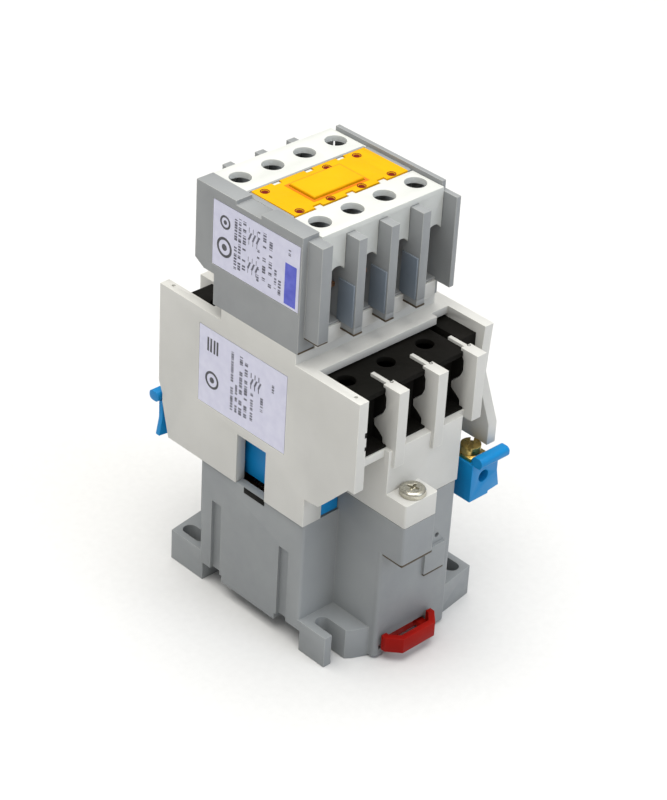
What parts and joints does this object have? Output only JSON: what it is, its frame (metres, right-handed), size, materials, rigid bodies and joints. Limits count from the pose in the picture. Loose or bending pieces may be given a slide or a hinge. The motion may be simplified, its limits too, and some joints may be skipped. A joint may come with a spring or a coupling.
{
  "type": "magnetic motor starter contactor",
  "caption": "Rail-mounted contactor with grey base, white housing, coil ears and a clip-on auxiliary contact block; sprung armature, slider and rail latch move.",
  "frame": {"origin": "centre of the whole part's box on the mounting plane, under the contactor's middle", "axes": "+Z away from the mounting panel; X across the poles, +X away from the label side; +Y from the latch end to the far terminal end"},
  "size_m": [0.0572, 0.0908, 0.1272],
  "materials": {
    "base_grey": "satin moulded",
    "aux_grey": "satin moulded",
    "housing_white": "satin moulded",
    "cover_white": "satin moulded",
    "shroud_black": "fine matt",
    "coil_blue": "glossy moulded",
    "slider_yellow": "semi-gloss moulded",
    "latch_red": "semi-gloss moulded",
    "plated_steel": "zinc plated",
    "spring_steel": "drawn wire",
    "brass": "machined",
    "copper_bar": "rolled copper",
    "core_iron": "laminated",
    "winding_tape": "taped winding",
    "rubber": "moulded",
    "label_film": "printed film"
  },
  "bodies": {
    "root": {"base_housing": "base_grey", "upper_housing": "housing_white", "terminal_shroud": "shroud_black", "housing_screws": "plated_steel", "fixed_core": "core_iron", "shading_rings": "copper_bar", "core_cushion": "rubber", "coil_bobbin": "coil_blue", "coil_winding": "winding_tape", "coil_terminal_screws": "brass", "return_spring": "spring_steel", "load_terminal_bars": "copper_bar", "line_terminal_bars": "copper_bar", "terminal_clamp_plates": "plated_steel", "power_terminal_screws": "plated_steel", "contactor_label": "label_film", "aux_housing": "aux_grey", "aux_terminal_cover_near": "cover_white", "aux_terminal_cover_far": "cover_white", "aux_top_cover": "slider_yellow", "aux_terminal_bars": "copper_bar", "aux_clamps": "plated_steel", "aux_terminal_screws": "plated_steel", "aux_label": "label_film"},
    "moving_contacts": {"contact_carrier": "shroud_black", "armature": "core_iron", "moving_bridges": "copper_bar", "contact_springs": "spring_steel"},
    "aux_slider": {"aux_carrier": "slider_yellow", "aux_bridges": "copper_bar"},
    "latch": {"rail_latch": "latch_red", "latch_spring": "spring_steel"}
  },
  "joints": [
    {"name": "armature_travel", "type": "slide", "parent": "root", "child": "moving_contacts", "axis": [0, 0, -1], "range_m": [0, 0.0054], "stiffness_N_per_m": 700, "springref_m": -0.004, "deforming": ["return_spring"]},
    {"name": "aux_slider_travel", "type": "slide", "parent": "root", "child": "aux_slider", "axis": [0, 0, -1], "range_m": [0, 0.0054], "stiffness_N_per_m": 150, "springref_m": -0.004},
    {"name": "latch_pull", "type": "slide", "parent": "root", "child": "latch", "axis": [0, -1, 0], "range_m": [0, 0.005], "stiffness_N_per_m": 400, "springref_m": -0.003}
  ],
  "couplings": [
    {"joint": "aux_slider_travel", "follows": "armature_travel", "ratio": 1}
  ]
}
